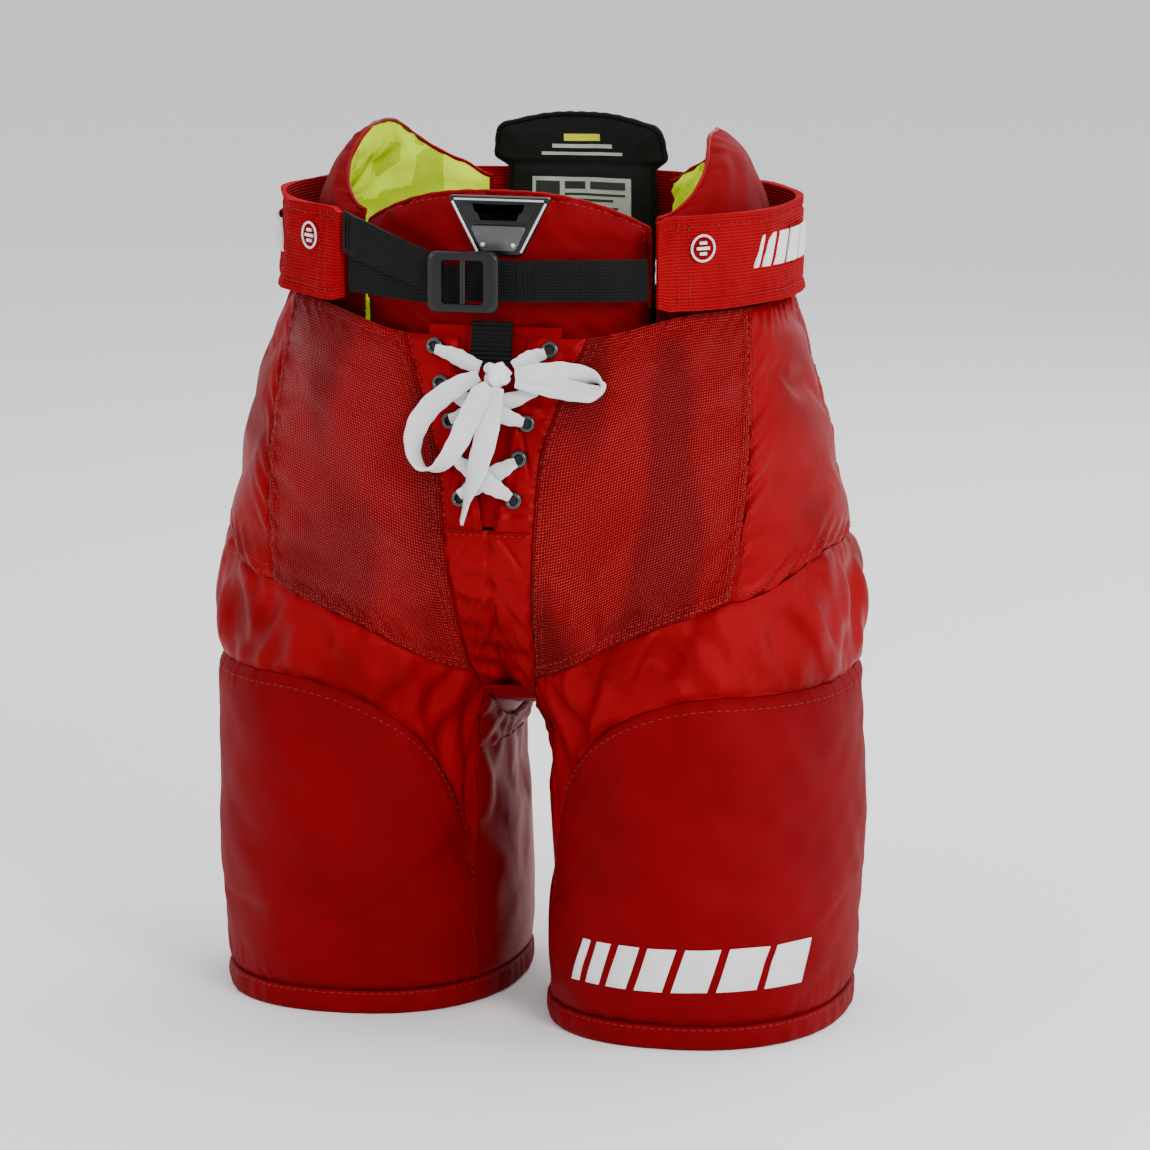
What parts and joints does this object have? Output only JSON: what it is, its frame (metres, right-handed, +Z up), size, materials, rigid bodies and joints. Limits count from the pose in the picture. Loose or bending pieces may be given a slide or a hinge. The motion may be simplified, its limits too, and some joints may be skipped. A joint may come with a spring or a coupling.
{
  "type": "hockey pants",
  "caption": "Youth ice hockey pants: red padded shell with mesh front, laced fly, belt with ladder-lock buckle, kidney and spine pads, two flexing legs.",
  "frame": {"origin": "floor under the middle of the pants, standing on both leg hems", "axes": "+Z up, -Y towards the wearer's front, +X towards the wearer's left"},
  "size_m": [0.322, 0.2239, 0.435],
  "materials": {
    "red_nylon": "semi-gloss woven nylon",
    "red_mesh": "coarse shiny mesh",
    "red_pad_cloth": "matte woven nylon",
    "red_ribbed_elastic": "ribbed elastic",
    "neon_lining": "brushed tricot",
    "black_knit": "diamond knit",
    "black_webbing": "ribbed webbing",
    "black_plastic": "moulded",
    "silver_paint": "painted",
    "eyelet_enamel": "gloss enamel",
    "white_cotton": "flat woven cotton",
    "guard_plastic": "moulded",
    "label_cloth": "printed satin"
  },
  "bodies": {
    "hips": {"crotch_gusset": "red_nylon", "fly_tongue": "red_nylon", "front_gusset": "red_nylon", "lace_cross_low_a": "white_cotton", "lace_cross_low_b": "white_cotton", "lace_cross_mid_a": "white_cotton", "lace_cross_mid_b": "white_cotton", "lace_keeper": "black_webbing", "lace_knot": "white_cotton", "lace_long_tail": "white_cotton", "lace_loop_left": "white_cotton", "lace_loop_right": "white_cotton", "lace_top_run_left": "white_cotton", "lace_top_run_right": "white_cotton", "left_eyelet_1": "eyelet_enamel", "left_eyelet_2": "eyelet_enamel", "left_eyelet_3": "eyelet_enamel", "left_eyelet_4": "eyelet_enamel", "left_eyelet_5": "eyelet_enamel", "left_flex_gusset": "red_nylon", "left_fly_facing": "red_nylon", "left_hip_guard": "guard_plastic", "left_mesh_panel": "red_mesh", "left_seat_panel": "red_nylon", "left_side_panel": "red_nylon", "right_eyelet_1": "eyelet_enamel", "right_eyelet_2": "eyelet_enamel", "right_eyelet_3": "eyelet_enamel", "right_eyelet_4": "eyelet_enamel", "right_eyelet_5": "eyelet_enamel", "right_flex_gusset": "red_nylon", "right_fly_facing": "red_nylon", "right_hip_guard": "guard_plastic", "right_mesh_panel": "red_mesh", "right_seat_panel": "red_nylon", "right_side_panel": "red_nylon", "tailbone_guard": "guard_plastic"},
    "girdle": {"belly_pad": "red_nylon", "spine_pad": "black_knit", "left_kidney_pad": "red_nylon", "right_kidney_pad": "red_nylon", "left_belt_wing": "red_ribbed_elastic", "right_belt_wing": "red_ribbed_elastic", "left_belt_strap": "black_webbing", "right_belt_strap": "black_webbing", "belt_strap_tail": "black_webbing", "badge_plate": "black_plastic", "badge_insert": "silver_paint", "badge_rivet_left": "silver_paint", "badge_rivet_right": "silver_paint", "size_label": "label_cloth"},
    "buckle": {"buckle_frame": "black_plastic"},
    "left_leg": {"left_thigh_pad": "red_pad_cloth", "left_thigh_guard": "guard_plastic", "left_inner_thigh_panel": "red_nylon", "left_hem_binding": "red_pad_cloth"},
    "right_leg": {"right_thigh_pad": "red_pad_cloth", "right_thigh_guard": "guard_plastic", "right_inner_thigh_panel": "red_nylon", "right_hem_binding": "red_pad_cloth"}
  },
  "joints": [
    {"name": "left_leg_flex", "type": "hinge", "parent": "hips", "child": "left_leg", "pos_m": [0.0868, 0, 0.2], "axis": [-1, 0, 0], "range_deg": [-10, 15], "deforming": ["left_flex_gusset"]},
    {"name": "right_leg_flex", "type": "hinge", "parent": "hips", "child": "right_leg", "pos_m": [-0.0868, 0, 0.2], "axis": [-1, 0, 0], "range_deg": [-10, 15], "deforming": ["right_flex_gusset"]},
    {"name": "length_extension", "type": "slide", "parent": "hips", "child": "girdle", "axis": [0, 0, 1], "range_m": [0, 0.025]},
    {"name": "buckle_tilt", "type": "hinge", "parent": "girdle", "child": "buckle", "pos_m": [-0.0295, -0.1012, 0.373], "axis": [0, 0, 1], "range_deg": [-35, 0]}
  ]
}
